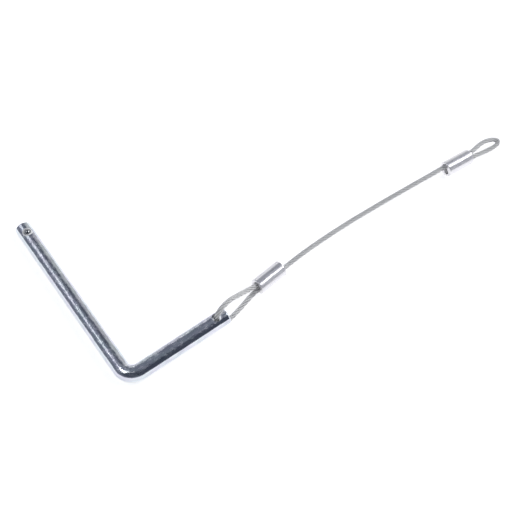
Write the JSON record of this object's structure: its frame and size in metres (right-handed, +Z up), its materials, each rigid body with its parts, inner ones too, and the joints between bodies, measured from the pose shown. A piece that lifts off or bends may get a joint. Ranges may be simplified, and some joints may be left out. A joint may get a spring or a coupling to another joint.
{
  "type": "hitch pin lock",
  "caption": "L-shaped zinc-plated detent pin with a sprung ball near its tip and a wire rope lanyard with crimped loops, which ends in a free eye.",
  "frame": {"origin": "on the surface the pin lies on, under the middle of the pin's own box (bar, ball and spring, without the lanyard)", "axes": "+Y along the shank from the bend to the tip, +X along the handle from the bend to its end, +Z up, the way the ball faces. The handle's end is propped 4.5 degrees up by the rope that passes under it."},
  "size_m": [0.2323, 0.1042, 0.0158],
  "materials": {
    "zinc_plated_steel": "bright bluish zinc plating, glossy with fine mottling",
    "ball_steel": "polished hardened steel",
    "spring_steel": "drawn spring wire, slightly oily",
    "galvanised_rope": "bare galvanised wire rope, satin",
    "swaged_aluminium": "smooth swaged aluminium"
  },
  "bodies": {
    "pin": {"pin_rod": "zinc_plated_steel", "detent_spring": "spring_steel"},
    "ball": {"detent_ball": "ball_steel"},
    "lanyard": {"lanyard_rope": "galvanised_rope", "pin_end_ferrule": "swaged_aluminium", "free_end_ferrule": "swaged_aluminium"}
  },
  "joints": [
    {"name": "ball_press", "type": "slide", "parent": "pin", "child": "ball", "axis": [0, 0, 1], "range_m": [-0.0009, 0], "stiffness_N_per_m": 1500, "springref_m": 0.001, "deforming": ["detent_spring"]},
    {"name": "lanyard_swing", "type": "hinge", "parent": "pin", "child": "lanyard", "pos_m": [0.02268, -0.04811, 0.00761], "axis": [0, 0, 1], "range_deg": [-125, 95]}
  ]
}
